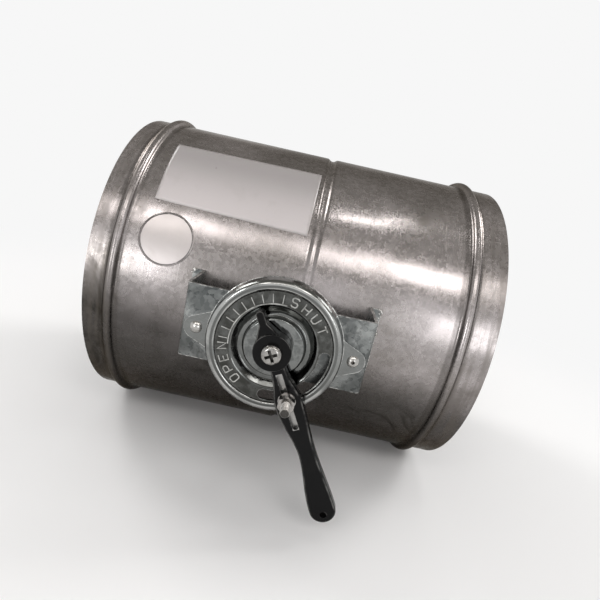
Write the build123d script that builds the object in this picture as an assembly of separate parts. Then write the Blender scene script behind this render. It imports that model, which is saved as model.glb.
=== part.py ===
from build123d import *
import math
import os

# Round air damper with a stand-off dial regulator: X runs along the duct, the dial faces -Y, Z is up,
# and the origin is where the shaft crosses the duct's axis. All sizes are in millimetres and degrees.

# Casing: one rolled sheet with a bead near each end and a stiffening groove beside the shaft
casing_radius = 100.0
casing_sheet = 1.0
left_length = 115.5
right_length = 122.5
left_collar = 15.5
right_collar = 19.1
bead_rise = 3.5
bead_crest = 2.6
bead_root = 2.0
groove_offset = 9.7
groove_depth = 1.6
groove_trough = 3.0
groove_edge = 3.0

# Shaft and its two bushes
shaft_radius = 5.0
shaft_flat = 1.0
shaft_square = 7.0
shaft_tail = 3.0
running_clearance = 0.05
face_clearance = 0.3
bush_radius = 8.0
bush_flange_radius = 12.5
bush_flange = 2.5
bush_stub = 1.0
tail_washer_radius = 9.0
tail_washer_sheet = 1.0
clip_radius = 8.0
clip_sheet = 1.0
clip_groove = 0.8
clip_mouth = 6.4

# Stand-off bracket: a hat section whose feet follow the casing
stand_off = 28.0
bracket_width = 98.0
bracket_height = 39.5
bracket_lift = 2.5
bracket_sheet = 1.5
bracket_bend = 1.0
foot_length = 5.2
foot_corner = 3.0
foot_bend = 1.0
bracket_hole_gap = 1.0

# Dial plate: a pressing with a rolled rim, a scale ring, a well and a raised centre
dial_sheet = 1.2
rim_radius = 34.6
rim_inner = 30.2
rim_height = 7.0
skirt_spread = 0.9
scale_outer = 29.4
scale_height = 6.2
well_radius = 22.4
well_foot = 18.2
well_height = 3.0
centre_foot = 16.2
centre_radius = 15.2
dial_bend = 1.0
rim_bend = 1.8
well_bend = 3.0
dial_hole_gap = 1.0
ear_spacing = 82.0
ear_radius = 6.4
ear_root = 15.0
ear_root_at = 20.0
ear_flare = 2.0
slot_radius = 26.1
slot_width = 5.6
slot_margin = 1.0

# Dial rivets
rivet_radius = 2.0
rivet_head = 3.2
rivet_dome = 1.5
rivet_bulb = 2.8
rivet_tail = 2.2
rivet_mandrel = 1.0

# Lever with its pointer
lever_length = 101.5
lever_end = 7.2
lever_waist = 4.5
lever_waist_at = 58.5
lever_bow = 1.2
lever_belly = 7.2
lever_belly_at = 30.0
lever_neck = 3.9
lever_neck_at = 9.0
lever_thickness = 5.4
lever_round = 1.8
lever_lift = 0.6
hub_radius = 9.6
hub_rise = 0.8
hub_round = 0.6
pointer_half = 2.1
pointer_reach = 21.8
pointer_base = 14.0
pointer_round = 1.0
lever_groove_start = 13.5
lever_groove_end = 41.5
lever_groove_width = 3.2
lever_groove_depth = 2.4
lock_hole_gap = 0.2
hang_hole = 1.9
hang_hole_inset = 5.5

# Centre screw and locking bolt
screw_radius = 2.5
screw_head = 5.2
screw_head_height = 3.7
screw_head_round = 2.2
screw_grip = 10.0
recess_width = 1.6
recess_length = 6.4
recess_depth = 2.3
lock_head_width = 7.2
lock_head_length = 10.0
lock_head_height = 2.2
lock_clearance = 0.5
lock_washer_radius = 4.5
lock_washer_sheet = 1.0
nut_flats = 8.0
nut_height = 4.7
nut_chamfer = 0.5
lock_projection = 7.8
lock_point = 0.6

# Blade and the saddles that hold it on the shaft
blade_sheet = 1.5
blade_clearance = 1.0
saddle_sheet = 1.2
saddle_length = 20.0
saddle_span = 30.0
saddle_corner = 3.0
saddle_spacing = 100.0
blade_rivet_radius = 1.6
blade_rivet_head = 3.0
blade_rivet_dome = 1.3

# The dial's quadrant, and how far the lever stands from shut
quadrant = 90.0
lever_opening = 28.0

# How near two lengths are when they count as the same
tolerance = 0.001

# Distances that follow from the sizes above
bracket_face = casing_radius + stand_off
bracket_low = bracket_lift - bracket_height / 2
bore_radius = shaft_radius + running_clearance
lever_back = rim_height + lever_lift
lever_front = lever_back + lever_thickness
hub_back = scale_height + face_clearance
hub_front = lever_front + hub_rise
shaft_front = hub_front - face_clearance
bush_face = casing_radius + bush_flange
washer_face = bush_face + face_clearance + tail_washer_sheet
clip_face = washer_face + clip_sheet
lock_head_front = scale_height - dial_sheet - lock_clearance
nut_seat = lever_front + lock_washer_sheet
lock_end = nut_seat + nut_height + lock_projection
blade_radius = casing_radius - casing_sheet - groove_depth - blade_clearance
blade_seat = shaft_radius - shaft_flat
saddle_half = shaft_radius + saddle_sheet
saddle_rivet_reach = (saddle_half + saddle_span / 2) / 2


def front_plane(height):
    # A plane parallel to the dial, at a height above the bracket's face, that extrudes to the front
    return Plane.XZ.offset(bracket_face + height)


def front_disc(radius, low, high):
    return extrude(front_plane(low) * Circle(radius), high - low)


def rod(radius, start, end):
    return extrude(Plane.XZ.offset(-end) * Circle(radius), end - start)


def duct_cylinder(radius):
    return extrude(Plane.YZ * Circle(radius), left_length + right_length, both=True)


def swage(x, level, rise, crest, root):
    # A rounded bead (rise above zero) or groove: a crest arc between two root arcs
    side = math.copysign(1.0, rise)
    reach = math.sqrt((crest + root) ** 2 - (crest + root - abs(rise)) ** 2)
    centre = Vector(x, level + rise - side * crest)
    roots = [Vector(x - reach, level + side * root), Vector(x + reach, level + side * root)]
    meets = [centre + (point - centre) * (crest / (crest + root)) for point in roots]
    ends = [Vector(x - reach, level), Vector(x + reach, level)]
    arcs = []
    for point, meet, end in zip(roots, meets, ends):
        middle = point + ((end - point) + (meet - point)).normalized() * root
        arcs.append(ThreePointArc(end, middle, meet))
    return ends, [arcs[0], ThreePointArc(meets[0], (x, level + rise), meets[1]), arcs[1]]


def casing_line(depth):
    # The casing's section along one face of the sheet, at a depth below its outer face
    level = casing_radius - depth
    swages = [
        swage(left_collar - left_length, level, bead_rise, bead_crest - depth, bead_root + depth),
        swage(groove_offset, level, -groove_depth, groove_trough + depth, groove_edge - depth),
        swage(right_length - right_collar, level, bead_rise, bead_crest - depth, bead_root + depth),
    ]
    edges = []
    last = Vector(-left_length, level)
    for ends, arcs in swages:
        edges += [Line(last, ends[0])] + arcs
        last = ends[1]
    return edges + [Line(last, (right_length, level))]


def make_casing():
    inner = casing_radius - casing_sheet
    caps = [Line((x, inner), (x, casing_radius)) for x in (-left_length, right_length)]
    section = make_face(casing_line(0.0) + casing_line(casing_sheet) + caps)
    return revolve(section, Axis.X) - rod(bush_radius, -bush_face, bush_face)


def make_bush():
    flange = rod(bush_flange_radius, casing_radius - bush_flange_radius, bush_face)
    sleeve = rod(bush_radius, casing_radius - casing_sheet - bush_stub, bush_face)
    return flange - duct_cylinder(casing_radius) + sleeve - rod(bore_radius, 0, bush_face)


def make_bracket():
    base = Plane.XY.offset(bracket_low)
    outer = Pos(0, -bracket_face / 2) * Rectangle(bracket_width, bracket_face)
    inner_depth = bracket_face - bracket_sheet
    inner = Pos(0, -inner_depth / 2) * Rectangle(bracket_width - 2 * bracket_sheet, inner_depth)
    outer = fillet(outer.vertices().group_by(Axis.Y)[0], bracket_bend + bracket_sheet)
    inner = fillet(inner.vertices().group_by(Axis.Y)[0], bracket_bend)
    hat = extrude(base * (outer - inner), bracket_height) - duct_cylinder(casing_radius)
    foot_band = duct_cylinder(casing_radius + bracket_sheet) - duct_cylinder(casing_radius)
    foot_wide = bracket_width / 2 + foot_length
    foot_outline = Pos(0, bracket_lift) * Rectangle(2 * foot_wide, bracket_height)
    foot_outline = fillet(foot_outline.vertices(), foot_corner)
    foot_gap = Pos(0, bracket_lift) * Rectangle(bracket_width - 2 * bracket_sheet, bracket_height)
    feet = extrude(Plane.XZ * (foot_outline - foot_gap), bracket_face) & foot_band
    hat += feet
    bend_x = bracket_width / 2
    bends = [e for e in hat.edges().filter_by(GeomType.CIRCLE)
             if abs(e.radius - casing_radius - bracket_sheet) < tolerance
             and abs(abs(e.center().X) - bend_x) < tolerance]
    hat = fillet(bends, foot_bend)
    holes = Circle(shaft_radius + bracket_hole_gap)
    for side in (-1, 1):
        holes += Pos(side * ear_spacing / 2, 0) * Circle(rivet_radius)
    return hat - extrude(front_plane(-bracket_sheet) * holes, bracket_sheet)


def sheet_back(points, sheet):
    # The corners of a sheet's back face, whose first point stays level with the front's
    normals = [(b - a).normalized().rotate(Axis.Z, -90) for a, b in zip(points, points[1:])]
    back = [points[0] + Vector(sheet / normals[0].X, 0)]
    for point, before, after in zip(points[1:], normals, normals[1:]):
        back.append(point + (before + after) * (sheet / (1 + before.dot(after))))
    return back + [points[-1] + normals[-1] * sheet]


def make_dial():
    # The pressing's front line: radius, height and bend of each corner from the rim to the raised centre
    corners = [
        (rim_radius, rim_height, rim_bend),
        (rim_inner, rim_height, dial_bend),
        (scale_outer, scale_height, dial_bend),
        (well_radius, scale_height, well_bend),
        (well_foot, well_height, well_bend),
        (centre_foot, well_height, dial_bend),
        (centre_radius, scale_height, dial_bend),
    ]
    skirt_radius = rim_radius + skirt_spread
    bore = (shaft_radius + dial_hole_gap, scale_height)
    line = [(skirt_radius, 0), *[(radius, height) for radius, height, bend in corners], bore]
    front = [Vector(radius, -bracket_face - height) for radius, height in line]
    back = sheet_back(front, dial_sheet)
    bends = [bend for radius, height, bend in corners]
    faces = [FilletPolyline(*side, radius=bends) for side in (front, back)]
    caps = [Line(front[end], back[end]) for end in (0, -1)]
    section = make_face([edge for face in faces for edge in face.edges()] + caps)
    dial = revolve(section, Axis.Y)
    outline = Circle(skirt_radius)
    for side in (-1, 1):
        ear = Pos(side * ear_spacing / 2, 0) * Circle(ear_radius)
        root = Pos(side * ear_root_at, 0) * Circle(ear_root)
        outline += make_hull(ear.edges() + root.edges())
    roots = [v for v in outline.vertices() if abs(math.hypot(v.X, v.Y) - skirt_radius) < tolerance]
    outline = fillet(roots, ear_flare)
    for side in (-1, 1):
        outline -= Pos(side * ear_spacing / 2, 0) * Circle(rivet_radius)
    outline -= Circle(skirt_radius - dial_sheet / 2)
    dial += extrude(front_plane(0) * outline, dial_sheet)
    arc = CenterArc((0, 0), slot_radius, -quadrant - slot_margin, quadrant + 2 * slot_margin)
    return dial - extrude(front_plane(well_height) * SlotArc(arc, slot_width), rim_height)


def dome(radius, rise):
    # A rivet head that stands on the XZ plane and rises along +Y
    ball = (radius ** 2 + rise ** 2) / (2 * rise)
    half_turn = math.asin(radius / ball) / 2
    shoulder = (ball * math.sin(half_turn), rise - ball + ball * math.cos(half_turn))
    arc = ThreePointArc((radius, 0), shoulder, (0, rise))
    section = make_face([Line((0, 0), (radius, 0)), arc, Line((0, rise), (0, 0))])
    return revolve(section, Axis.Y)


def make_dial_rivet(open_end):
    # A blind rivet through an ear and the bracket, with its mandrel left in or pulled through
    rivet = Pos(0, -bracket_face - dial_sheet, 0) * dome(rivet_head, rivet_dome).rotate(Axis.X, 180)
    rivet += front_disc(rivet_radius, -bracket_sheet, dial_sheet)
    rivet += front_disc(rivet_bulb, -bracket_sheet - rivet_tail, -bracket_sheet)
    if open_end:
        rivet -= front_disc(rivet_mandrel, -bracket_sheet - rivet_tail, dial_sheet + rivet_dome)
    return rivet


def tapered_bar(start, start_radius, end, end_radius):
    # The outline of a bar with round ends, along the lever, with the tip's direction downwards
    near = Pos(0, -start) * Circle(start_radius)
    far = Pos(0, -end) * Circle(end_radius)
    return make_hull(near.edges() + far.edges())


def handle_edge(side):
    # One edge of the handle, from the hub over the belly and the waist to the round end
    stations = [
        (side * lever_neck, lever_neck_at),
        (side * lever_belly, lever_belly_at),
        (side * lever_waist + lever_bow, lever_waist_at),
        (side * lever_end, lever_length - lever_end),
    ]
    points = [(across, -along) for across, along in stations]
    return Spline(*points, tangents=[(0, -1) for point in points])


def handle_outline():
    left, right = handle_edge(-1), handle_edge(1)
    tip = ThreePointArc(left @ 1, (0, -lever_length), right @ 1)
    sides = [Line((-lever_neck, 0), left @ 0), Line((lever_neck, 0), right @ 0)]
    return make_face([left, right, tip, *sides, Line((-lever_neck, 0), (lever_neck, 0))])


def rounded_front(outline, radius):
    # A plate of the lever's thickness with its front edges rounded
    plate = extrude(front_plane(lever_back) * outline, lever_thickness)
    return fillet(plate.edges().group_by(Axis.Y)[0], radius)


def make_lever():
    pointer = tapered_bar(0, hub_radius - hub_round, -pointer_base, pointer_half)
    pointer += tapered_bar(0, pointer_half, pointer_half - pointer_reach, pointer_half)
    hub = front_disc(hub_radius, hub_back, hub_front)
    lever = fillet(hub.edges().group_by(Axis.Y)[0], hub_round)
    lever += rounded_front(pointer, pointer_round)
    lever += rounded_front(handle_outline(), lever_round)
    groove_length = lever_groove_end - lever_groove_start
    groove_centre = Pos(0, -(lever_groove_start + lever_groove_end) / 2) * Rot(0, 0, 90)
    groove = groove_centre * SlotCenterToCenter(groove_length, lever_groove_width)
    lever -= extrude(front_plane(lever_front - lever_groove_depth) * groove, lever_groove_depth)
    holes = Pos(0, -slot_radius) * Circle(screw_radius + lock_hole_gap)
    holes += Pos(0, hang_hole_inset - lever_length) * Circle(hang_hole)
    holes += Rectangle(shaft_square, shaft_square)
    return lever - extrude(front_plane(0) * holes, hub_front)


def make_shaft():
    tail = clip_face + shaft_tail
    shaft = rod(shaft_radius, -bracket_face - hub_back, tail)
    shaft += extrude(front_plane(hub_back) * Rectangle(shaft_square, shaft_square), shaft_front - hub_back)
    flat_length = 2 * (casing_radius - casing_sheet - bush_stub - face_clearance)
    flat = Pos(-shaft_radius - blade_seat, 0, 0) * Box(2 * shaft_radius, flat_length, 2 * shaft_radius)
    shaft -= flat
    ring = rod(shaft_radius, washer_face, clip_face) - rod(shaft_radius - clip_groove, washer_face, clip_face)
    shaft -= ring
    return shaft - front_disc(screw_radius, hub_front - screw_grip, shaft_front)


def make_tail_washer():
    return rod(tail_washer_radius, washer_face - tail_washer_sheet, washer_face) - rod(
        bore_radius, washer_face - tail_washer_sheet, washer_face)


def make_clip():
    clip = rod(clip_radius, washer_face, clip_face) - rod(shaft_radius - clip_groove, washer_face, clip_face)
    mouth = Pos(0, washer_face + clip_sheet / 2, -clip_radius) * Box(clip_mouth, clip_sheet, 2 * clip_radius)
    return clip - mouth


def make_screw():
    head = front_disc(screw_head, hub_front, hub_front + screw_head_height)
    head = fillet(head.edges().group_by(Axis.Y)[0], screw_head_round)
    cross = Rectangle(recess_width, recess_length) + Rectangle(recess_length, recess_width)
    head -= extrude(front_plane(hub_front + screw_head_height - recess_depth) * cross, recess_depth)
    return head + front_disc(screw_radius, hub_front - screw_grip, hub_front)


def at_lock(piece):
    return Pos(0, 0, -slot_radius) * piece


def make_lock_bolt():
    head = Rectangle(lock_head_length, lock_head_width)
    bolt = extrude(front_plane(lock_head_front - lock_head_height) * head, lock_head_height)
    shank = front_disc(screw_radius, lock_head_front, lock_end)
    bolt += chamfer(shank.edges().group_by(Axis.Y)[0], lock_point)
    return at_lock(bolt)


def make_lock_washer():
    washer = front_disc(lock_washer_radius, lever_front, nut_seat)
    return at_lock(washer - front_disc(screw_radius, lever_front, nut_seat))


def make_lock_nut():
    hexagon = RegularPolygon(nut_flats / 2, 6, major_radius=False)
    nut = extrude(front_plane(nut_seat) * hexagon, nut_height)
    corner = nut_flats / math.sqrt(3)
    envelope = front_disc(corner, nut_seat, nut_seat + nut_height)
    nut &= chamfer(envelope.edges(), nut_chamfer)
    return at_lock(nut - front_disc(screw_radius, nut_seat, nut_seat + nut_height))


def saddle_positions():
    return [-saddle_spacing / 2, saddle_spacing / 2]


def blade_rivet_places():
    return [(y, z) for y in saddle_positions() for z in (-saddle_rivet_reach, saddle_rivet_reach)]


def make_blade():
    outline = Circle(blade_radius)
    for y, z in blade_rivet_places():
        outline -= Pos(y, z) * Circle(blade_rivet_radius)
    return extrude(Plane.YZ.offset(-blade_seat) * outline, -blade_sheet)


def make_saddle(y):
    # A strap bent over the shaft, with a flange on each side that lies on the blade
    bow = Circle(saddle_half) + Pos(-blade_seat / 2, 0) * Rectangle(blade_seat, 2 * saddle_half)
    bow &= Pos(saddle_half - blade_seat, 0) * Rectangle(2 * saddle_half, 2 * saddle_half)
    flange = Pos(saddle_sheet / 2 - blade_seat, 0) * Rectangle(saddle_sheet, saddle_span)
    hollow = Circle(shaft_radius) + Pos(-blade_seat, 0) * Rectangle(2 * blade_seat, 2 * shaft_radius)
    section = bow + flange - hollow
    saddle = extrude(Plane.XZ.offset(-y) * section, saddle_length / 2, both=True)
    corners = saddle.edges().filter_by(Axis.X).filter_by(
        lambda edge: abs(abs(edge.center().Z) - saddle_span / 2) < tolerance)
    saddle = fillet(corners, saddle_corner)
    for side in (-1, 1):
        hole = Plane.YZ.offset(-blade_seat) * Pos(y, side * saddle_rivet_reach) * Circle(blade_rivet_radius)
        saddle -= extrude(hole, saddle_sheet)
    return saddle


def make_blade_rivet(y, z):
    # A solid rivet with a dome on each face of the blade
    back = -blade_seat - blade_sheet
    top = saddle_sheet - blade_seat
    rivet = extrude(Plane.YZ.offset(back) * Circle(blade_rivet_radius), top - back)
    for face, turn in ((back, 90), (top, -90)):
        rivet += Pos(face, 0, 0) * dome(blade_rivet_head, blade_rivet_dome).rotate(Axis.Z, turn)
    return Pos(0, y, z) * rivet


bush = make_bush()
fixed = {
    "casing": make_casing(),
    "front_bush": bush.rotate(Axis.Z, 180),
    "rear_bush": bush,
    "stand_off_bracket": make_bracket(),
    "dial_plate": make_dial(),
    "left_dial_rivet": Pos(-ear_spacing / 2, 0, 0) * make_dial_rivet(False),
    "right_dial_rivet": Pos(ear_spacing / 2, 0, 0) * make_dial_rivet(True),
}
turning = {
    "shaft": make_shaft(),
    "lever": make_lever(),
    "centre_screw": make_screw(),
    "lock_bolt": make_lock_bolt(),
    "lock_washer": make_lock_washer(),
    "lock_nut": make_lock_nut(),
    "tail_washer": make_tail_washer(),
    "tail_clip": make_clip(),
    "blade": make_blade(),
}
for place, y in zip(("front", "rear"), saddle_positions()):
    turning[f"{place}_saddle"] = make_saddle(y)
for number, (y, z) in enumerate(blade_rivet_places(), 1):
    turning[f"blade_rivet_{number}"] = make_blade_rivet(y, z)

os.makedirs("parts", exist_ok=True)
for name, piece in fixed.items():
    export_step(piece, f"parts/{name}.step")
for name, piece in turning.items():
    export_step(piece.rotate(Axis.Y, -lever_opening), f"parts/{name}.step")
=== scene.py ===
import math
import random
import bmesh
import bpy
from mathutils import Matrix, Vector


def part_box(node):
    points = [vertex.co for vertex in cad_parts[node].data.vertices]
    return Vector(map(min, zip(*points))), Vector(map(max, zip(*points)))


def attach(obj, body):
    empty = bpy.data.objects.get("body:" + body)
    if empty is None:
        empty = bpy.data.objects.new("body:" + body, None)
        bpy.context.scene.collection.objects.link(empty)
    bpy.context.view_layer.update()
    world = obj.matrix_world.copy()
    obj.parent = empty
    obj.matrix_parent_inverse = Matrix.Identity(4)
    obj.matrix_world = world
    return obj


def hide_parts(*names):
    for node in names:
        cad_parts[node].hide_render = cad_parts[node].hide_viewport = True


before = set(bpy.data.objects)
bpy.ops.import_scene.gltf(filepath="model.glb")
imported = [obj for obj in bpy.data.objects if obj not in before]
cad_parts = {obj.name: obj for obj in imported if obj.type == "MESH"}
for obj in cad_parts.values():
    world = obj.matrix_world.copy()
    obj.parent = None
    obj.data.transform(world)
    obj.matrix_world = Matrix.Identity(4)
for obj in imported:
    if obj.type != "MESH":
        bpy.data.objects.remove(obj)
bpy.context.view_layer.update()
scene = bpy.context.scene
scene.view_settings.view_transform = "Standard"
mm = 0.001
leverTurn = 28.0  # degrees that the lever stands from shut at rest
print("frame loaded:", len(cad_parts), "nodes")


class Wire:  # one output of a node, ready for sums
    def __init__(self, finish, socket):
        self.finish = finish
        self.socket = socket

    def calc(self, operation, *terms):
        return self.finish.node("Math", {"operation": operation}, dict(enumerate(terms)))

    def other(self, output):
        return Wire(self.finish, self.socket.node.outputs[output])

    def __add__(self, term):
        return self.calc("ADD", self, term)

    def __sub__(self, term):
        return self.calc("SUBTRACT", self, term)

    def __rsub__(self, term):
        return self.calc("SUBTRACT", term, self)

    def __mul__(self, term):
        return self.calc("MULTIPLY", self, term)

    __radd__ = __add__
    __rmul__ = __mul__


class Finish:  # the node tree of a material or of the world
    edgeBend = (0.01, 0.16)  # how far a rounded normal leans where an edge starts to count
    edgeCloud = (420.0, 4.0, 0.55)
    dialSide = (-60 * mm, -15 * mm)  # depths between which the dial's side ends

    def __init__(self, owner):
        self.owner = owner
        owner.use_nodes = True
        self.tree = owner.node_tree
        self.tree.nodes.clear()

    def node(self, kind, settings=None, sockets=None, out=0):
        made = self.tree.nodes.new("ShaderNode" + kind)
        for key, value in (settings or {}).items():
            setattr(made, key, value)
        for key, value in (sockets or {}).items():
            if isinstance(value, Wire):
                self.tree.links.new(value.socket, made.inputs[key])
            else:
                made.inputs[key].default_value = value
        return Wire(self, made.outputs[out]) if len(made.outputs) else made

    def place(self, scale=(1, 1, 1)):  # the part's own metres, stretched
        spot = self.node("TexCoord", out="Object")
        return self.node("Mapping", {}, {"Vector": spot, "Scale": scale})

    def axes(self, where):
        x = self.node("SeparateXYZ", {}, {0: where}, "X")
        return x, x.other("Y"), x.other("Z")

    def fromShaft(self):  # distance from the shaft's axis
        return self.vector("LENGTH", {0: self.place((1, 0, 1))}, "Value")

    def cloud(self, where, scale, detail=3.0, rough=0.55, twist=0.0):
        sockets = {"Vector": where, "Scale": scale, "Detail": detail, "Roughness": rough}
        return self.node("TexNoise", {}, sockets | {"Distortion": twist})

    def ease(self, value, low, high, start=0.0, end=1.0):
        sockets = {"Value": value, "From Min": low, "From Max": high, "To Min": start, "To Max": end}
        return self.node("MapRange", {"interpolation_type": "SMOOTHSTEP"}, sockets)

    def fade(self, value, low, high):  # 1 that falls to 0
        return self.ease(value, low, high, 1.0, 0.0)

    def band(self, value, low, high, soft):  # 1 between two values, with soft ends
        return self.ease(value, low - soft, low + soft) * self.fade(value, high - soft, high + soft)

    def mottle(self, where, scale, detail, rough, low, high, twist=0.0):  # a cloud cut between two levels
        return self.ease(self.cloud(where, scale, detail, rough, twist), low, high)

    def blend(self, factor, first, second):
        return self.node("Mix", {"data_type": "RGBA"}, {0: factor, 6: first, 7: second}, 2)

    def vector(self, operation, sockets, out=0):
        return self.node("VectorMath", {"operation": operation}, sockets, out)

    def bump(self, height, depth, strength=1.0, under=None):
        sockets = {"Height": height, "Distance": depth, "Strength": strength}
        if under:
            sockets["Normal"] = under
        return self.node("Bump", {}, sockets)

    def edges(self, radius, low, high):  # 1 along outer edges, broken up by a fine cloud
        rounded = self.node("Bevel", {"samples": 6}, {"Radius": radius})
        plain = self.node("NewGeometry", out="Normal")
        bend = 1 - self.vector("DOT_PRODUCT", {0: rounded, 1: plain}, "Value")
        return self.ease(bend, *self.edgeBend) * self.mottle(self.place(), *self.edgeCloud, low, high)

    def paintedUnderShade(self, strength, low, high, lean=0.0):  # painted shade on the lower part of the side that bears the dial
        x, y, z = self.axes(self.place())
        return strength * self.fade(z + lean * x, low, high) * self.fade(y, *self.dialSide)

    def skin(self, sockets):
        shader = self.node("BsdfPrincipled", {}, sockets)
        self.node("OutputMaterial", {}, {"Surface": shader})
        return self.owner


def newFinish(name):
    return Finish(bpy.data.materials.new(name))


# Sheet steel under zinc: cloudy lustre, small crystals, smears and roller lines, with painted shade on the
# lower front
# A mottle gives scale, detail, roughness, the levels it is cut between and any twist
# Patches, smears and speck patches take their scale from the sheet's own patch
sheetLook = {
    "driftScale": 110.0, "drift": 0.005, "patches": (6.0, 0.62, 0.36, 0.66),
    "smearScale": 1.5, "smears": (7.0, 0.68, 0.55, 0.76, 0.9), "specks": (700.0, 2.0, 0.55, 0.63, 0.74),
    "speckScale": 3.0, "speckPatches": (3.0, 0.55, 0.48, 0.66),
    "lineCut": (1.0, 2.0, 0.55, 0.56, 0.74), "swell": (13.0, 2.0, 0.4),
    "chipEdge": (0.9 * mm, 0.44, 0.60), "chipTone": (0.74, 0.73, 0.70, 1),
    # the first tone below is the painted shade of the lower front
    "underShadeTone": (0.014, 0.0135, 0.011, 1), "grainDepth": 0.012 * mm, "lineDepth": 0.014 * mm,
}
casingLook = sheetLook | {
    "dull": (0.235, 0.217, 0.206, 1), "bright": (0.47, 0.434, 0.432, 1), "smear": (0.125, 0.110, 0.095, 1),
    "grimeAndShade": (0.035, 0.030, 0.024, 1), "rake": (0.34, 0.32, 0.29, 1), "mix": (0.78, 0.22), "metal": 0.86,
    "crystal": 520.0, "patch": 15.0, "roughness": 0.23, "wave": 2.4 * mm, "lines": (1300, 9, 9),
    # under: strength, depths and lean of the painted shade on the lower front
    "chips": 0.0, "under": (0.97, -29.0 * mm, 7.0 * mm, 0.12),
    # along the duct: where the collars start, and the flanks of the beads and the groove that take painted
    # shade
    "collars": (-97.0 * mm, 101.0 * mm), "collarSoft": 3.0 * mm,
    "streakStretch": (260, 26, 26), "streaks": (1.0, 5.0, 0.62, 0.40, 0.62), "creaseSoft": 0.8 * mm,
    "creases": (
        (-106.2, -102.0, 0.80), (-97.6, -94.4, 0.40), (6.0, 8.2, 0.45),
        (11.2, 13.4, 0.45), (96.6, 101.6, 0.75), (105.4, 108.2, 0.60),
    ),
}
bracketLook = sheetLook | {
    "dull": (0.075, 0.082, 0.082, 1), "bright": (0.35, 0.362, 0.355, 1), "smear": (0.03, 0.031, 0.03, 1),
    "rake": (0.8, 0.8, 0.8, 1), "mix": (0.65, 0.35), "metal": 0.80,
    "crystal": 420.0, "patch": 60.0, "roughness": 0.26, "wave": 1.2 * mm, "lines": (14, 14, 900),
    # under: strength and depths of the painted shade on the bracket's lower part
    "chips": 0.9, "under": (0.55, -20.0 * mm, 14.0 * mm), "collars": None,
}
bladeLook = sheetLook | {
    "dull": (0.34, 0.325, 0.315, 1), "bright": (0.56, 0.54, 0.53, 1), "smear": (0.20, 0.185, 0.17, 1),
    "rake": (0.8, 0.8, 0.8, 1), "mix": (0.70, 0.30), "metal": 0.86,
    "crystal": 480.0, "patch": 19.0, "roughness": 0.30, "wave": 1.6 * mm, "lines": (10, 10, 1100),
    "chips": 0.4, "under": None, "collars": None,
}


def galvanised(name, look):
    f = newFinish(name)
    flat = f.place()
    patch = look["patch"]
    drift = f.vector("SCALE", {0: f.cloud(flat, look["driftScale"]).other("Color"), "Scale": look["drift"]})
    drifted = f.vector("ADD", {0: flat, 1: drift})
    cells = f.node("TexVoronoi", {}, {"Vector": drifted, "Scale": look["crystal"]}, "Color")
    crystal = f.node("SeparateColor", {}, {0: cells})
    patches = f.mottle(flat, patch, *look["patches"])
    smears = f.mottle(flat, look["smearScale"] * patch, *look["smears"])
    speckled = f.mottle(flat, look["speckScale"] * patch, *look["speckPatches"])
    specks = f.mottle(flat, *look["specks"]) * speckled
    lines = f.mottle(f.place(look["lines"]), *look["lineCut"])
    cloudy, flecked = look["mix"]
    tone = f.blend(cloudy * patches + flecked * crystal, look["dull"], look["bright"])
    tone = f.blend(0.50 * smears + 0.45 * specks, tone, look["smear"])
    gloss = look["roughness"] + 0.09 * crystal - 0.06 * patches + 0.16 * smears + 0.05 * lines
    # painted shade: the lower front darkens towards near-black
    if look["under"]:
        tone = f.blend(f.paintedUnderShade(*look["under"]) * (0.8 + 0.2 * smears), tone, look["underShadeTone"])
    if look["collars"]:  # painted shade along the beads and the groove, streaks where the pipes push on
        x = f.axes(flat)[0]
        for low, high, share in look["creases"]:
            crease = f.band(x, low * mm, high * mm, look["creaseSoft"]) * (0.55 + 0.45 * smears)
            # painted shade: dark bands on the flanks, mottled by the smears
            tone = f.blend(share * crease, tone, look["grimeAndShade"])
        ends = 1 - f.band(x, *look["collars"], look["collarSoft"])
        streaks = ends * f.mottle(f.place(look["streakStretch"]), *look["streaks"])
        tone = f.blend(0.40 * streaks, tone, look["smear"])
        gloss = gloss + 0.08 * streaks
    if look["chips"]:
        chips = look["chips"] * f.edges(*look["chipEdge"])
        tone = f.blend(chips, tone, look["chipTone"])
        gloss = gloss - 0.10 * chips
    wavy = f.bump(f.cloud(flat, *look["swell"]), look["wave"])
    grain = f.bump(0.6 * crystal + specks, look["grainDepth"], 0.4, wavy)
    return f.skin({
        "Base Color": tone, "Metallic": look["metal"], "Roughness": gloss, "Specular Tint": look["rake"],
        "Normal": f.bump(lines, look["lineDepth"], 0.6, grain),
    })


# Dial pressing: bright centre, a rim with painted highlight lines and painted shade between them, dirt over
# painted shade in the scale ring and the well, radii in metres
dialLook = {
    "zinc": (0.31, 0.318, 0.31, 1), "film": (0.12, 0.126, 0.124, 1), "worn": (0.74, 0.74, 0.72, 1),
    # under: strength and depths of the painted shade on the dial's lower part
    "grimeAndShade": (0.035, 0.035, 0.031, 1), "under": (0.55, -38.0 * mm, 12.0 * mm),
    "centre": 15.4 * mm, "well": 22.5 * mm, "scale": 29.6 * mm, "rim": 34.4 * mm,
    "soft": 0.5 * mm, "ringSoft": 0.4 * mm, "rollSoft": 0.2 * mm, "earSoft": 0.6 * mm,
    "innerHighlight": (29.9 * mm, 30.9 * mm), "outerHighlight": (32.3 * mm, 34.0 * mm), "highlightSoft": 0.3 * mm,
    "dirt": (150.0, 6.0, 0.65, 0.34, 0.62), "smudge": (150.0, 4.0, 0.6, 0.42, 0.62, 1.4),
    "filmCloud": (46.0, 5.0, 0.6), "filmCut": (0.30, 0.6), "fine": 900.0,
    "wornEdge": (0.7 * mm, 0.36, 0.56),
    "rollDepth": 0.55 * mm, "filmDepth": 0.5 * mm, "fineDepth": 0.01 * mm,
}


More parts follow.
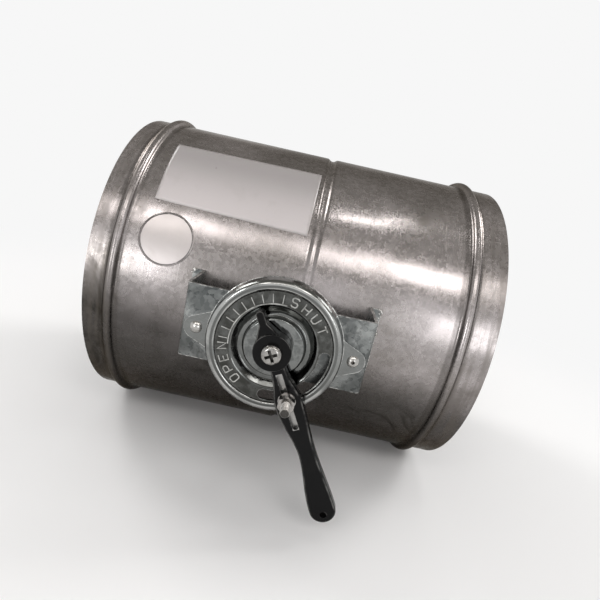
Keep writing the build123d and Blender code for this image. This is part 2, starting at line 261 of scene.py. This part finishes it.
def pressedZinc(name, look):
    f = newFinish(name)
    flat = f.place()
    away = f.fromShaft()
    soft = look["soft"]
    centre = f.fade(away, look["centre"] - soft, look["centre"])
    well = f.band(away, look["centre"], look["well"], soft)
    ring = f.band(away, look["well"], look["scale"], look["ringSoft"])
    rim = f.band(away, look["scale"], look["rim"], soft)
    ears = f.ease(away, look["rim"], look["rim"] + look["earSoft"])
    # painted highlights: two bright lines around the rim
    rubbed = f.band(away, *look["innerHighlight"], look["highlightSoft"])
    rubbed = rubbed + f.band(away, *look["outerHighlight"], look["highlightSoft"])
    dirt = f.mottle(flat, *look["dirt"])
    film = f.cloud(flat, *look["filmCloud"])
    worn = f.edges(*look["wornEdge"])
    offRim = (away - 0.5 * (look["scale"] + look["rim"])) * (2 / (look["rim"] - look["scale"]))
    roll = (1 - offRim * offRim) * f.band(away, look["scale"], look["rim"], look["rollSoft"])
    tone = f.blend(0.2 + 0.5 * film, look["zinc"], look["film"])
    # dirt over painted shade in the well and the scale ring; only dirt on the ears
    dirtAndShade = well * (0.22 + 0.25 * dirt) + ring * (0.55 + 0.35 * dirt) + 0.16 * ears * dirt
    tone = f.blend(dirtAndShade, tone, look["grimeAndShade"])
    tone = f.blend(0.75 * centre * f.mottle(flat, *look["smudge"]), tone, look["film"])
    # painted shade on the dial's lower part
    tone = f.blend(f.paintedUnderShade(*look["under"]), tone, look["grimeAndShade"])
    # painted shade on the rim between the painted highlight lines
    tone = f.blend(0.45 * rim * (1 - rubbed), tone, look["grimeAndShade"])
    # painted highlights on the rim lines, with wear along the edges
    bright = 0.45 * rubbed * f.ease(film, *look["filmCut"]) + (0.4 + 0.6 * ears) * worn
    tone = f.blend(bright, tone, look["worn"])
    rolled = f.bump(film, look["filmDepth"], 0.7, f.bump(roll, look["rollDepth"]))
    return f.skin({
        "Base Color": tone, "Metallic": 1.0, "Roughness": 0.05 + 0.18 * ring + 0.06 * dirt + 0.05 * film,
        "Normal": f.bump(f.cloud(flat, look["fine"]), look["fineDepth"], 0.5, rolled),
    })


# Lever: gloss black over steel, rubbed along its edges, a painted highlight on the front's rounded edges,
# bare on the floor of its groove
leverLook = {
    "black": (0.004, 0.004, 0.0042, 1), "dust": (0.03, 0.029, 0.026, 1), "steelAndHighlight": (0.30, 0.295, 0.28, 1),
    "bare": (0.38, 0.373, 0.36, 1), "grooveHalf": 1.64 * mm, "grooveSideSoft": 0.02 * mm,
    "grooveFrom": 11.7 * mm, "grooveTo": 43.3 * mm, "grooveEndSoft": 0.1 * mm,
    "grooveFloor": (-138.2 * mm, -138.0 * mm), "floorFacing": (-0.9, -0.6),
    "highlightFacing": (-0.86, -0.55, 0.10), "edgeHighlight": (130.0, 5.0, 0.6, 0.36, 0.58),
    "dusty": (70.0, 6.0, 0.65, 0.48, 0.78), "pits": 620.0, "pitDepth": 0.03 * mm,
    "rubEdge": (0.8 * mm, 0.50, 0.64),
}


def blackGloss(name, look):
    f = newFinish(name)
    flat = f.place()
    dust = f.mottle(flat, *look["dusty"])
    pits = f.cloud(flat, look["pits"])
    rubs = f.edges(*look["rubEdge"])
    turn = math.radians(leverTurn)
    x, y, z = f.axes(flat)
    along = math.sin(turn) * x - math.cos(turn) * z
    across = math.cos(turn) * x + math.sin(turn) * z
    facing = f.axes(f.node("NewGeometry", out="Normal"))[1]
    bare = f.band(across, -look["grooveHalf"], look["grooveHalf"], look["grooveSideSoft"])
    bare = bare * f.band(along, look["grooveFrom"], look["grooveTo"], look["grooveEndSoft"])
    bare = bare * f.fade(y, *look["grooveFloor"]) * f.fade(facing, *look["floorFacing"])
    edgeHighlight = f.band(facing, *look["highlightFacing"]) * f.mottle(flat, *look["edgeHighlight"])  # painted highlight along the front's rounded edges
    tone = f.blend(0.18 * dust, look["black"], look["dust"])
    # wear and painted highlight, both in the steel tone
    tone = f.blend(0.4 * rubs + 0.35 * edgeHighlight, tone, look["steelAndHighlight"])
    tone = f.blend(bare * (0.75 + 0.25 * pits), tone, look["bare"])
    return f.skin({
        "Base Color": tone, "Metallic": bare.calc("MAXIMUM", bare, 0.5 * rubs),
        "Roughness": 0.12 + 0.22 * dust + 0.08 * pits + 0.16 * bare, "Specular IOR Level": 0.08,
        "Coat Weight": (0.07 - 0.05 * dust) * (1 - bare), "Coat Roughness": 0.08,
        "Normal": f.bump(pits, look["pitDepth"], 0.6),
    })


# Plated fasteners: warm plating, painted shade where it is sunk, between two depths within a reach of the
# shaft's axis
boltLook = {
    "plate": (0.36, 0.345, 0.33, 1), "dark": (0.15, 0.14, 0.13, 1), "rubbed": (0.78, 0.77, 0.74, 1),
    "recessShade": (0.02, 0.019, 0.017, 1), "roughness": 0.20, "shadedDepths": None, "shadedDepthSoft": 0.1 * mm,
    "stain": (330.0, 5.0, 0.6, 0.42, 0.72), "fine": (1400.0, 2.0), "fineDepth": 0.02 * mm,
    "rubEdge": (0.4 * mm, 0.36, 0.54),
}
threadedLook = boltLook | {"roughness": 0.24, "shadedDepths": (-160.0 * mm, -154.2 * mm, 40.0 * mm)}
screwLook = boltLook | {
    "plate": (0.36, 0.35, 0.335, 1), "dark": (0.10, 0.095, 0.085, 1), "roughness": 0.12,
    "shadedDepths": (-145.2 * mm, -142.0 * mm, 3.25 * mm),
}
rivetLook = boltLook | {"plate": (0.48, 0.47, 0.45, 1), "dark": (0.19, 0.18, 0.165, 1), "roughness": 0.18}


def plated(name, look):
    f = newFinish(name)
    flat = f.place()
    stain = f.mottle(flat, *look["stain"])
    fine = f.cloud(flat, *look["fine"])
    tone = f.blend(0.5 * stain, look["plate"], look["dark"])
    tone = f.blend(0.5 * f.edges(*look["rubEdge"]), tone, look["rubbed"])
    if look["shadedDepths"]:
        low, high, reach = look["shadedDepths"]
        soft = look["shadedDepthSoft"]
        shadedDepths = f.band(f.axes(flat)[1], low, high, soft) * f.fade(f.fromShaft(), reach - soft, reach + soft)
        # painted shade in the screw's recess and at the locking bolt's end
        tone = f.blend(0.85 * shadedDepths, tone, look["recessShade"])
    return f.skin({
        "Base Color": tone, "Metallic": 1.0, "Roughness": look["roughness"] + 0.15 * stain + 0.06 * fine,
        "Normal": f.bump(fine, look["fineDepth"], 0.5),
    })


# Bushes: moulded dark plastic
bushLook = {
    "body": (0.035, 0.036, 0.038, 1), "rubbed": (0.10, 0.10, 0.10, 1),
    "rubs": (160.0, 4.0, 0.55, 0.48, 0.70), "grain": 900.0, "grainDepth": 0.05 * mm,
}


def mouldedPlastic(name, look):
    f = newFinish(name)
    flat = f.place()
    grain = f.cloud(flat, look["grain"])
    rubs = f.mottle(flat, *look["rubs"])
    return f.skin({
        "Base Color": f.blend(0.6 * rubs, look["body"], look["rubbed"]),
        "Roughness": 0.38 + 0.18 * rubs + 0.08 * grain, "Normal": f.bump(grain, look["grainDepth"], 0.6),
    })


finishes = {
    "sheet": galvanised("galvanised sheet", casingLook),
    "bracket": galvanised("bracket zinc", bracketLook),
    "blade": galvanised("blade zinc", bladeLook),
    "dial": pressedZinc("pressed dial zinc", dialLook),
    "lever": blackGloss("lever gloss black", leverLook),
    "bolt": plated("bolt plating", boltLook),
    "thread": plated("thread plating", threadedLook),
    "screw": plated("screw plating", screwLook),
    "rivet": plated("rivet skin", rivetLook),
    "bush": mouldedPlastic("bush plastic", bushLook),
}
nodeFinish = {
    "casing": "sheet", "front_bush": "bush", "rear_bush": "bush", "stand_off_bracket": "bracket",
    "dial_plate": "dial", "left_dial_rivet": "rivet", "right_dial_rivet": "rivet", "shaft": "bolt",
    "lever": "lever", "centre_screw": "screw", "lock_bolt": "bolt", "lock_washer": "bolt",
    "lock_nut": "bolt", "tail_washer": "bolt", "tail_clip": "screw", "blade": "blade",
    "front_saddle": "bracket", "rear_saddle": "bracket", "blade_rivet_1": "rivet",
    "blade_rivet_2": "rivet", "blade_rivet_3": "rivet", "blade_rivet_4": "rivet",
}
for nodeName, finishName in nodeFinish.items():
    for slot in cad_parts[nodeName].material_slots:
        slot.material = finishes[finishName]
print("finishes on", len(nodeFinish), "nodes")


def addPiece(name, bm, material, body, smooth=True):
    bmesh.ops.recalc_face_normals(bm, faces=bm.faces)
    mesh = bpy.data.meshes.new(name)
    bm.to_mesh(mesh)
    bm.free()
    mesh.polygons.foreach_set("use_smooth", [smooth] * len(mesh.polygons))
    mesh.materials.append(material)
    piece = bpy.data.objects.new(name, mesh)
    scene.collection.objects.link(piece)
    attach(piece, body)
    return piece


def closedTube(bm, rings):  # rings of equal count, walled in order and capped at both ends
    for first, second in zip(rings, rings[1:]):
        for k in range(len(first)):
            after = (k + 1) % len(first)
            bm.faces.new((first[k], first[after], second[after], second[k]))
    bm.faces.new(rings[0])
    bm.faces.new(rings[-1])


# Pieces stuck on the casing: places are millimetres along the duct and degrees up from the dial's side
casingRadius = 100.0


def onCasing(along, angle, lift):
    turn = math.radians(angle)
    radius = casingRadius + lift
    return Vector((along, -radius * math.cos(turn), radius * math.sin(turn))) * mm


def stuckSheet(name, rows, thick, material, roundOne=False):  # rows of (along, angle, lift, s, t)
    bm = bmesh.new()
    flat = bm.loops.layers.uv.new("flat")
    sides = []
    for extra in (thick, 0.0):
        sides.append([[bm.verts.new(onCasing(p[0], p[1], p[2] + extra)) for p in row] for row in rows])
    top, bottom = sides

    def face(corners, spots):
        made = bm.faces.new(corners)
        for loop, spot in zip(made.loops, spots):
            loop[flat].uv = spot

    spots = [[(p[3], p[4]) for p in row] for row in rows]
    last, width = len(rows) - 1, len(rows[0])
    end = width if roundOne else width - 1
    for i in range(last):
        for j in range(end):
            ring = [(i, j), (i, (j + 1) % width), (i + 1, (j + 1) % width), (i + 1, j)]
            face([top[a][b] for a, b in ring], [spots[a][b] for a, b in ring])
            face([bottom[a][b] for a, b in ring], [spots[a][b] for a, b in ring])
    if roundOne:  # the first row is the small ring in the middle
        border = [(last, j) for j in range(width)]
        face(top[0], spots[0])
        face(bottom[0], spots[0])
    else:
        border = [(0, j) for j in range(end)] + [(i, end) for i in range(last)]
        border += [(last, j) for j in range(end, 0, -1)] + [(i, 0) for i in range(last, 0, -1)]
    for (a, b), (c, d) in zip(border, border[1:] + border[:1]):
        wall = [top[a][b], top[c][d], bottom[c][d], bottom[a][b]]
        face(wall, [spots[a][b], spots[c][d], spots[c][d], spots[a][b]])
    addPiece(name, bm, material, "housing")


# Paper label: pale, a little soiled along its borders, painted shade darker towards its top, one corner
# starting to lift
labelLook = {
    "paper": (0.54, 0.50, 0.495, 1), "shade": (0.31, 0.288, 0.284, 1), "soil": (0.29, 0.265, 0.25, 1),
    "thick": 0.14, "lift": 0.03, "curl": 0.55, "curlFade": (8, 4), "steps": (60, 24),
    "corners": {
        "topLeft": (-87.2, 59.5), "topRight": (4.6, 60.3), "lowRight": (4.0, 31.2), "lowLeft": (-86.0, 32.5),
    },
    "border": (0.012, 0.02), "shading": (0.05, 0.85), "blotch": (60.0, 6.0, 0.62), "blotchCut": (0.52, 0.78),
    "rubStretch": (30, 240, 240), "rub": (1.0, 4.0, 0.55, 0.60, 0.74),
    "fibre": 1600.0, "fibreDepth": 0.02 * mm, "buckle": (75.0, 2.0), "buckleDepth": 0.35 * mm,
}


def paper(name, look):
    f = newFinish(name)
    across, up = f.axes(f.node("UVMap", {"uv_map": "flat"}))[:2]
    flat = f.place()
    side, edge = look["border"]
    inner = f.band(across, side, 1 - side, side) * f.band(up, edge, 1 - edge, edge)
    blotch = f.cloud(flat, *look["blotch"])
    soil = f.ease(blotch, *look["blotchCut"]) * 0.22 + (1 - inner) * 0.35
    rub = f.mottle(f.place(look["rubStretch"]), *look["rub"])
    # painted shade: darker towards the top of the label
    tone = f.blend(f.ease(up, *look["shading"]), look["paper"], look["shade"])
    tone = f.blend(soil + 0.10 * rub, tone, look["soil"])
    buckled = f.bump(f.cloud(flat, *look["buckle"]), look["buckleDepth"], 0.6)
    return f.skin({
        "Base Color": tone, "Roughness": 0.24 + 0.12 * blotch + 0.12 * rub, "Specular IOR Level": 0.7,
        "Normal": f.bump(f.cloud(flat, look["fibre"]), look["fibreDepth"], 0.5, buckled),
    })


def makeLabel(look):
    across, up = look["steps"]
    c = look["corners"]
    rows = []
    for i in range(up + 1):
        t = i / up
        row = []
        for j in range(across + 1):
            s = j / across
            spot = [(1 - t) * ((1 - s) * c["lowLeft"][k] + s * c["lowRight"][k])
                    + t * ((1 - s) * c["topLeft"][k] + s * c["topRight"][k]) for k in (0, 1)]
            nearCorner = max(0.0, 1 - math.hypot(s * look["curlFade"][0], t * look["curlFade"][1]))
            row.append((spot[0], spot[1], look["lift"] + look["curl"] * nearCorner ** 2, s, t))
        rows.append(row)
    stuckSheet("paper_label", rows, look["thick"], paper("label paper", look))


makeLabel(labelLook)

# Round seal: a thin satin film with one plain printed ring
sealLook = {
    "film": (0.48, 0.446, 0.437, 1), "dulled": (0.42, 0.392, 0.382, 1), "ink": (0.07, 0.062, 0.062, 1),
    "along": -73.4, "angle": 20.0, "radius": 15.7, "eye": 0.4, "thick": 0.09, "lift": 0.02, "steps": (12, 96),
    "ring": (14.45, 15.05, 0.10), "gaps": (260.0, 4.0, 0.55, 0.30, 0.44), "blotch": (80.0, 5.0, 0.6),
    "blotchCut": (0.4, 0.7), "blotchDepth": 0.3 * mm,
}


def sealFilm(name, look):
    f = newFinish(name)
    flat = f.place()
    away = f.vector("LENGTH", {0: f.node("UVMap", {"uv_map": "flat"})}, "Value")
    blotch = f.cloud(flat, *look["blotch"])
    ring = f.band(away, *look["ring"]) * f.mottle(flat, *look["gaps"])
    tone = f.blend(0.5 * f.ease(blotch, *look["blotchCut"]), look["film"], look["dulled"])
    return f.skin({
        "Base Color": f.blend(0.9 * ring, tone, look["ink"]), "Metallic": 0.95 - 0.9 * ring,
        "Roughness": 0.30 + 0.14 * blotch + 0.15 * ring, "Normal": f.bump(blotch, look["blotchDepth"], 0.5),
    })


def makeSeal(look):
    rings, turns = look["steps"]
    rows = []
    for i in range(rings + 1):
        radius = look["radius"] * (i + look["eye"]) / (rings + look["eye"])
        row = []
        for j in range(turns):
            clock = 2 * math.pi * j / turns
            u, v = radius * math.cos(clock), radius * math.sin(clock)
            angle = look["angle"] + math.degrees(v / casingRadius)
            row.append((look["along"] + u, angle, look["lift"], u, v))
        rows.append(row)
    stuckSheet("round_seal", rows, look["thick"], sealFilm("seal film", look), True)


makeSeal(sealLook)
print("label and seal stuck on")

# Weld beads: rough bright drops along the outer edge of each foot of the bracket, places in millimetres
weldLook = {
    "metal": (0.74, 0.73, 0.71, 1), "scale": (0.24, 0.225, 0.21, 1), "scaly": (520.0, 4.0, 0.6, 0.46, 0.64),
    "ripple": 1500.0, "rippleDepth": 0.12 * mm, "footEdge": 54.2, "footTop": 22.25, "footSheet": 1.5,
    "sides": ((-1, 5, 3.5), (1, 13, 17.0)),  # which side, how many drops and how far down
    "inset": 0.6, "crowding": 1.4, "drop": (0.45, 1.0), "scatter": (-1.3, 0.5), "sink": 0.5,
    "stretch": ((0.8, 1.3), (0.6, 0.9), (0.8, 1.4)), "seed": 11,
}


def weldMetal(name, look):
    f = newFinish(name)
    flat = f.place()
    scale = f.mottle(flat, *look["scaly"])
    ripple = f.cloud(flat, look["ripple"])
    return f.skin({
        "Base Color": f.blend(0.8 * scale, look["metal"], look["scale"]), "Metallic": 1.0,
        "Roughness": 0.22 + 0.25 * scale, "Normal": f.bump(ripple, look["rippleDepth"], 0.8),
    })


def makeWelds(look):
    chance = random.Random(look["seed"])
    bm = bmesh.new()
    for side, count, reach in look["sides"]:
        for k in range(count):
            radius = chance.uniform(*look["drop"])
            height = look["footTop"] - look["inset"] - reach * (k / count) ** look["crowding"]
            along = side * (look["footEdge"] + chance.uniform(*look["scatter"]))
            angle = math.degrees(math.asin(height / casingRadius))
            middle = onCasing(along, angle, look["footSheet"] - look["sink"] * radius)
            drop = bmesh.ops.create_icosphere(bm, subdivisions=2, radius=radius * mm)
            stretch = Vector([chance.uniform(*limits) for limits in look["stretch"]])
            for vert in drop["verts"]:
                vert.co = vert.co * stretch + middle
    addPiece("foot_welds", bm, weldMetal("weld metal", look), "housing")


makeWelds(weldLook)
print("welds on the feet")

# Raised marks of the dial: millimetres in the dial's plane, clock degrees from the top
marksLook = {
    "face": 134.2, "sink": 0.06, "rise": 0.34, "foot": 0.5, "crest": 0.30, "mitre": 0.6, "stroke": 0.82,
    "tick": 0.62, "tickIn": 23.5, "tickOut": 28.0, "ticks": 9, "firstTick": 270.0, "lastTick": 360.0,
    "arc": 23.0, "arcFrom": 263.0, "arcTo": 366.0, "arcSteps": 80,
    "letterMid": 26.0, "letterHigh": 4.6, "letterWide": 3.2,
    "words": (("OPEN", (218.5, 232.0, 245.5, 260.0)), ("SHUT", (13.0, 27.5, 42.0, 56.5))),
    "zinc": (0.58, 0.58, 0.56, 1), "grimeAndShade": (0.14, 0.138, 0.125, 1), "cleanFrom": 0.05, "cleanTo": 0.30,
    "rubbed": (230.0, 5.0, 0.6, 0.34, 0.60), "fine": (1300.0, 2.0), "fineDepth": 0.015 * mm,
}
letterStrokes = {  # corners of each stroke, as shares of a letter's width and height
    "O": (((0.2, 0), (0.8, 0), (1, 0.2), (1, 0.8), (0.8, 1), (0.2, 1), (0, 0.8), (0, 0.2), (0.2, 0)),),
    "P": (((0, 0), (0, 1), (0.75, 1), (1, 0.87), (1, 0.58), (0.75, 0.45), (0, 0.45)),),
    "E": (((1, 0), (0, 0), (0, 1), (1, 1)), ((0, 0.5), (0.8, 0.5))),
    "N": (((0, 0), (0, 1), (1, 0), (1, 1)),),
    "S": (((0, 0.14), (0.2, 0), (0.8, 0), (1, 0.14), (1, 0.37), (0.8, 0.5),
           (0.2, 0.5), (0, 0.63), (0, 0.86), (0.2, 1), (0.8, 1), (1, 0.86)),),
    "H": (((0, 0), (0, 1)), ((1, 0), (1, 1)), ((0, 0.5), (1, 0.5))),
    "U": (((0, 1), (0, 0.2), (0.2, 0), (0.8, 0), (1, 0.2), (1, 1)),),
    "T": (((0, 1), (1, 1)), ((0.5, 1), (0.5, 0))),
}


def onDial(clock, radius):
    turn = math.radians(clock)
    return Vector((radius * math.sin(turn), radius * math.cos(turn)))


def ridge(bm, path, width, look):  # a raised stroke with sloping sides
    levels = ((look["foot"], -look["sink"]), (look["crest"], look["rise"]),
              (-look["crest"], look["rise"]), (-look["foot"], -look["sink"]))
    sections = []
    for i, point in enumerate(path):
        ahead = (path[min(i + 1, len(path) - 1)] - point).normalized()
        behind = (point - path[max(i - 1, 0)]).normalized()
        run = (ahead + behind).normalized()
        turned = run.dot(ahead) if ahead.length else run.dot(behind)
        side = Vector((-run.y, run.x)) / max(look["mitre"], turned)
        section = []
        for share, rise in levels:
            spot = point + side * width * share
            section.append(bm.verts.new(Vector((spot.x, -look["face"] - rise, spot.y)) * mm))
        sections.append(section)
    closedTube(bm, sections)


def markZinc(name, look):
    f = newFinish(name)
    flat = f.place()
    depth = f.axes(flat)[1]
    clean = f.fade(depth, -(look["face"] + look["cleanTo"]) * mm, -(look["face"] + look["cleanFrom"]) * mm)
    rubbed = f.mottle(flat, *look["rubbed"])
    fine = f.cloud(flat, *look["fine"])
    return f.skin({
        "Base Color": f.blend(clean * (0.35 + 0.65 * rubbed), look["grimeAndShade"], look["zinc"]), "Metallic": 1.0,
        "Roughness": 0.40 - 0.12 * rubbed + 0.06 * fine, "Normal": f.bump(fine, look["fineDepth"], 0.5),
    })


def makeMarks(look):
    zinc = markZinc("raised dial marks", look)
    bm = bmesh.new()
    step = (look["lastTick"] - look["firstTick"]) / (look["ticks"] - 1)
    for i in range(look["ticks"]):
        clock = look["firstTick"] + i * step
        ridge(bm, [onDial(clock, look["tickIn"]), onDial(clock, look["tickOut"])], look["tick"], look)
    steps = look["arcSteps"]
    arc = [look["arcFrom"] + (look["arcTo"] - look["arcFrom"]) * i / steps for i in range(steps + 1)]
    ridge(bm, [onDial(clock, look["arc"]) for clock in arc], look["stroke"], look)
    addPiece("dial_scale", bm, zinc, "housing", False)
    for word, clocks in look["words"]:
        bm = bmesh.new()
        for letter, clock in zip(word, clocks):
            for stroke in letterStrokes[letter]:
                path = []
                for u, v in stroke:
                    swing = math.degrees((u - 0.5) * look["letterWide"] / look["letterMid"])
                    path.append(onDial(clock + swing, look["letterMid"] + (v - 0.5) * look["letterHigh"]))
                ridge(bm, path, look["stroke"], look)
        addPiece("dial_word_" + word.lower(), bm, zinc, "housing", False)


makeMarks(marksLook)
print("dial marks raised")

# Locking bolt with a cut thread, heights in millimetres in front of the bracket's face
threadLook = {
    "bracketFace": 128.0, "headBack": 2.3, "headFront": 4.5, "headSize": (10.0, 7.2), "headCorner": 0.8,
    "cornerSteps": 4, "bevel": 0.3, "bevelShare": 0.94, "headGap": 0.02, "bury": 0.1,
    "end": 26.5, "point": 0.7, "crest": 2.5, "root": 2.06, "pitch": 0.8, "around": 36, "perPitch": 8,
}


def makeLockBolt(look):
    low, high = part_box("lock_bolt")
    axis = (Vector(low) + Vector(high)) / 2
    turn = Matrix.Rotation(math.radians(leverTurn), 3, "Y")

    def spot(x, z, height):
        side = turn @ Vector((x, 0, z)) * mm
        return Vector((axis.x + side.x, -(look["bracketFace"] + height) * mm, axis.z + side.z))

    bm = bmesh.new()
    corner, steps = look["headCorner"], look["cornerSteps"]
    halfLong, halfWide = look["headSize"][0] / 2 - corner, look["headSize"][1] / 2 - corner
    outline = []
    for sx, sz, start in ((1, 1, 0), (-1, 1, 90), (-1, -1, 180), (1, -1, 270)):  # rounded corners of the head
        for k in range(steps + 1):
            clock = math.radians(start + 90 * k / steps)
            x = sx * halfLong + corner * math.cos(clock)
            z = sz * halfWide + corner * math.sin(clock)
            outline.append((x, z))
    levels = ((look["headBack"], look["bevelShare"]), (look["headBack"] + look["bevel"], 1.0),
              (look["headFront"] - look["headGap"], 1.0))
    rings = []
    for height, share in levels:
        rings.append([bm.verts.new(spot(x * share, z * share, height)) for x, z in outline])
    closedTube(bm, rings)

    around = look["around"]
    count = round((look["end"] - look["headFront"]) / look["pitch"] * look["perPitch"])
    foot = look["headFront"] - look["bury"]
    rows = []
    for i in range(count + 1):
        height = foot + (look["end"] - foot) * i / count
        row = []
        for j in range(around):
            clock = 2 * math.pi * j / around
            phase = (height / look["pitch"] + j / around) % 1.0
            radius = look["root"] + (look["crest"] - look["root"]) * (1 - abs(2 * phase - 1))
            radius = min(radius, look["crest"] - look["point"] + max(0.0, look["end"] - height))
            row.append(bm.verts.new(spot(radius * math.cos(clock), radius * math.sin(clock), height)))
        rows.append(row)
    closedTube(bm, rows)
    bolt = addPiece("threaded_lock_bolt", bm, finishes["thread"], "blade_set", False)
    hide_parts("lock_bolt")


makeLockBolt(threadLook)
print("thread cut on the locking bolt")

# Studio: pale floor that fades into a pale surround, soft lamps, in metres
studioLook = {
    "floor": (0.88, 0.875, 0.87, 1), "floorPatch": (0.90, 0.90, 0.90, 1), "surround": (0.93, 0.93, 0.93, 1),
    "ceiling": (0.34, 0.33, 0.305, 1), "ceilingFrom": (0.38, 0.50), "fill": (0.55, 0.55, 0.55, 1),
    "floorHeight": -103.5 * mm, "floorRadius": 7.0, "floorCloud": 7.0, "fade": (0.17, 0.62),
    "lamps": (  # name, place, size, power and colour
        ("front softbox", (0.10, -1.08, 1.02), (2.2, 0.30), 6.0, (1.0, 0.97, 0.955)),
        ("right softbox", (0.44, -1.06, 0.98), (0.24, 0.34), 1.0, (1.0, 0.98, 0.97)),
        ("left softbox", (-0.50, -1.06, 1.00), (0.20, 0.32), 0.6, (1.0, 0.98, 0.97)),
        ("top tube", (0.22, -0.20, 1.35), (0.36, 0.05), 0.8, (1.0, 0.985, 0.97)),
        ("right window", (0.66, -1.40, 0.14), (0.36, 0.50), 1.75, (0.98, 0.985, 1.0)),
        ("left window", (-0.72, -1.40, 0.16), (0.22, 0.40), 3.2, (0.99, 0.99, 1.0)),
        ("left key", (-1.7, 0.9, 1.5), (0.8, 0.8), 18.0, (1.0, 0.99, 0.98)),
        ("right key", (1.7, 0.9, 1.5), (0.8, 0.8), 18.0, (1.0, 0.99, 0.98)),
    ),
}


def seenDirectly(f):  # the camera, metal and glass see the surround, which lights nothing else
    path = f.node("LightPath", out="Is Camera Ray")
    seen = path.calc("MAXIMUM", path, path.other("Is Glossy Ray"))
    return path.calc("MAXIMUM", seen, path.other("Is Transmission Ray"))


def makeFloor(look):
    bm = bmesh.new()
    bmesh.ops.create_circle(bm, cap_ends=True, segments=96, radius=look["floorRadius"])
    mesh = bpy.data.meshes.new("studio_floor")
    bm.to_mesh(mesh)
    bm.free()
    floor = bpy.data.objects.new("studio_floor", mesh)
    floor.location.z = look["floorHeight"]
    scene.collection.objects.link(floor)
    f = newFinish("pale floor")
    spot = f.place()
    cloudy = f.cloud(spot, look["floorCloud"])
    matt = f.node("BsdfPrincipled", {}, {
        "Base Color": f.blend(0.3 * cloudy, look["floor"], look["floorPatch"]),
        "Roughness": 0.75 + 0.1 * cloudy, "Specular IOR Level": 0.2,
    })
    glow = f.node("Emission", {}, {"Color": look["surround"], "Strength": 1.0})
    far = f.ease(f.vector("LENGTH", {0: spot}, "Value"), *look["fade"]) * seenDirectly(f)
    f.node("OutputMaterial", {}, {"Surface": f.node("MixShader", {}, {0: far, 1: matt, 2: glow})})
    mesh.materials.append(f.owner)


def makeSurround(look):
    scene.world = bpy.data.worlds.new("studio surround")
    f = Finish(scene.world)
    height = f.axes(f.node("TexCoord", out="Generated"))[2]
    tone = f.blend(f.ease(height, *look["ceilingFrom"]), look["surround"], look["ceiling"])
    tone = f.blend(seenDirectly(f), look["fill"], tone)
    f.node("OutputWorld", {}, {"Surface": f.node("Background", {}, {"Color": tone, "Strength": 1.0})})


def makeLamps(look):
    for name, where, size, power, colour in look["lamps"]:
        lamp = bpy.data.lights.new(name, "AREA")
        lamp.shape = "RECTANGLE"
        lamp.size, lamp.size_y = size
        lamp.energy = power
        lamp.color = colour
        holder = bpy.data.objects.new(name, lamp)
        holder.location = where
        holder.rotation_euler = (-Vector(where)).to_track_quat("-Z", "Y").to_euler()
        holder.visible_camera = False
        scene.collection.objects.link(holder)


makeFloor(studioLook)
makeSurround(studioLook)
makeLamps(studioLook)
print("studio lit by", len(studioLook["lamps"]), "lamps")

# Camera: place in millimetres, then tilt, pan and roll in degrees
cameraLook = {
    "spot": (6.2428, -340.5273, 83.7183), "tilt": 74.7, "pan": -0.3958, "roll": 12.6015,
    "lens": 26.56338, "sensor": 36.0, "near": 10.0 * mm,
}


def makeCamera(look):
    data = bpy.data.cameras.new("camera")
    data.lens = look["lens"]
    data.sensor_width = look["sensor"]
    data.clip_start = look["near"]
    camera = bpy.data.objects.new("camera", data)
    turn = Matrix.Identity(4)
    for angle, axis in (("tilt", "X"), ("pan", "Y"), ("roll", "Z")):
        turn = turn @ Matrix.Rotation(math.radians(look[angle]), 4, axis)
    camera.matrix_world = Matrix.Translation(Vector(look["spot"]) * mm) @ turn
    scene.collection.objects.link(camera)
    scene.camera = camera


makeCamera(cameraLook)
print("camera set")
